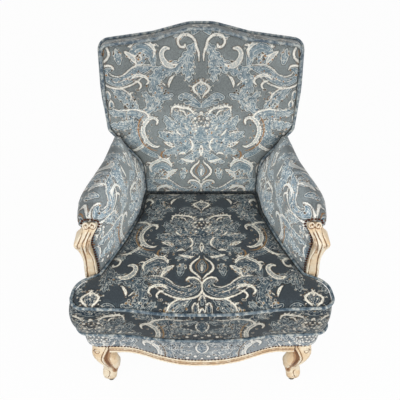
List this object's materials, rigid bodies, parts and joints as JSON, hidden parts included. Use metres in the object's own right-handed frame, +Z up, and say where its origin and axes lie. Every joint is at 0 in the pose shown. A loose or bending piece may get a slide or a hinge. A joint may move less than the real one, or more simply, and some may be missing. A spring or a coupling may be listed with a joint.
{
  "type": "bergere armchair",
  "caption": "Armchair with a boxed camel-top back, closed padded arms on carved painted supports, a loose T-shaped seat cushion and cabriole front legs.",
  "frame": {"origin": "on the floor under the middle of the chair's overall box", "axes": "+Z up, -Y the way the sitter faces, +X to the sitter's left as seen from behind and to the right as seen from the front"},
  "size_m": [0.7616, 0.7506, 1.0197],
  "materials": {
    "painted_wood": "cream paint, rubbed to brown on the edges",
    "beech": "raw",
    "back_damask": "velvet damask",
    "cushion_damask": "velvet damask",
    "arm_damask": "velvet damask",
    "band_damask": "velvet damask",
    "welt_cloth": "velvet cord",
    "lining_cloth": "plain weave",
    "padding": "foam and wadding",
    "hessian": "coarse weave",
    "webbing": "woven strap",
    "dust_cloth": "black non-woven",
    "bronze_nails": "dark bronzed",
    "spring_steel": "drawn wire",
    "glide": "moulded"
  },
  "bodies": {
    "frame": {"front_seat_rail": "painted_wood", "right_front_leg": "painted_wood", "left_front_leg": "painted_wood", "right_arm_post": "painted_wood", "left_arm_post": "painted_wood", "frame_dowels": "beech", "rear_seat_rail": "beech", "right_side_rail": "beech", "left_side_rail": "beech", "right_back_post": "beech", "left_back_post": "beech", "back_crest_rail": "beech", "back_lower_rail": "beech", "right_arm_rail": "beech", "left_arm_rail": "beech", "right_arm_tack_rail": "beech", "left_arm_tack_rail": "beech", "corner_blocks": "beech", "back_inside_cover": "back_damask", "back_boxing": "back_damask", "back_outside_panel": "back_damask", "right_arm_inside_cover": "arm_damask", "left_arm_inside_cover": "arm_damask", "right_arm_outside_panel": "arm_damask", "left_arm_outside_panel": "arm_damask", "front_band": "band_damask", "back_front_welt": "welt_cloth", "back_rear_welt": "welt_cloth", "seat_deck_cover": "lining_cloth", "back_pad": "padding", "right_arm_pad": "padding", "left_arm_pad": "padding", "seat_deck_pad": "padding", "back_hessian": "hessian", "seat_hessian": "hessian", "right_arm_hessian": "hessian", "left_arm_hessian": "hessian", "back_webbing": "webbing", "dust_cover": "dust_cloth", "right_arm_nails": "bronze_nails", "left_arm_nails": "bronze_nails", "rail_nails": "bronze_nails", "seat_springs": "spring_steel", "spring_clips": "spring_steel", "corner_screws": "spring_steel", "foot_glides": "glide"},
    "seat_cushion": {"cushion_core": "padding", "cushion_top_panel": "cushion_damask", "cushion_bottom_panel": "cushion_damask", "cushion_boxing": "cushion_damask", "cushion_top_welt": "welt_cloth", "cushion_bottom_welt": "welt_cloth"}
  },
  "joints": [
    {"name": "cushion_pull_out", "type": "slide", "parent": "frame", "child": "seat_cushion", "axis": [0, -0.866, 0.5], "range_m": [0, 0.45]}
  ]
}
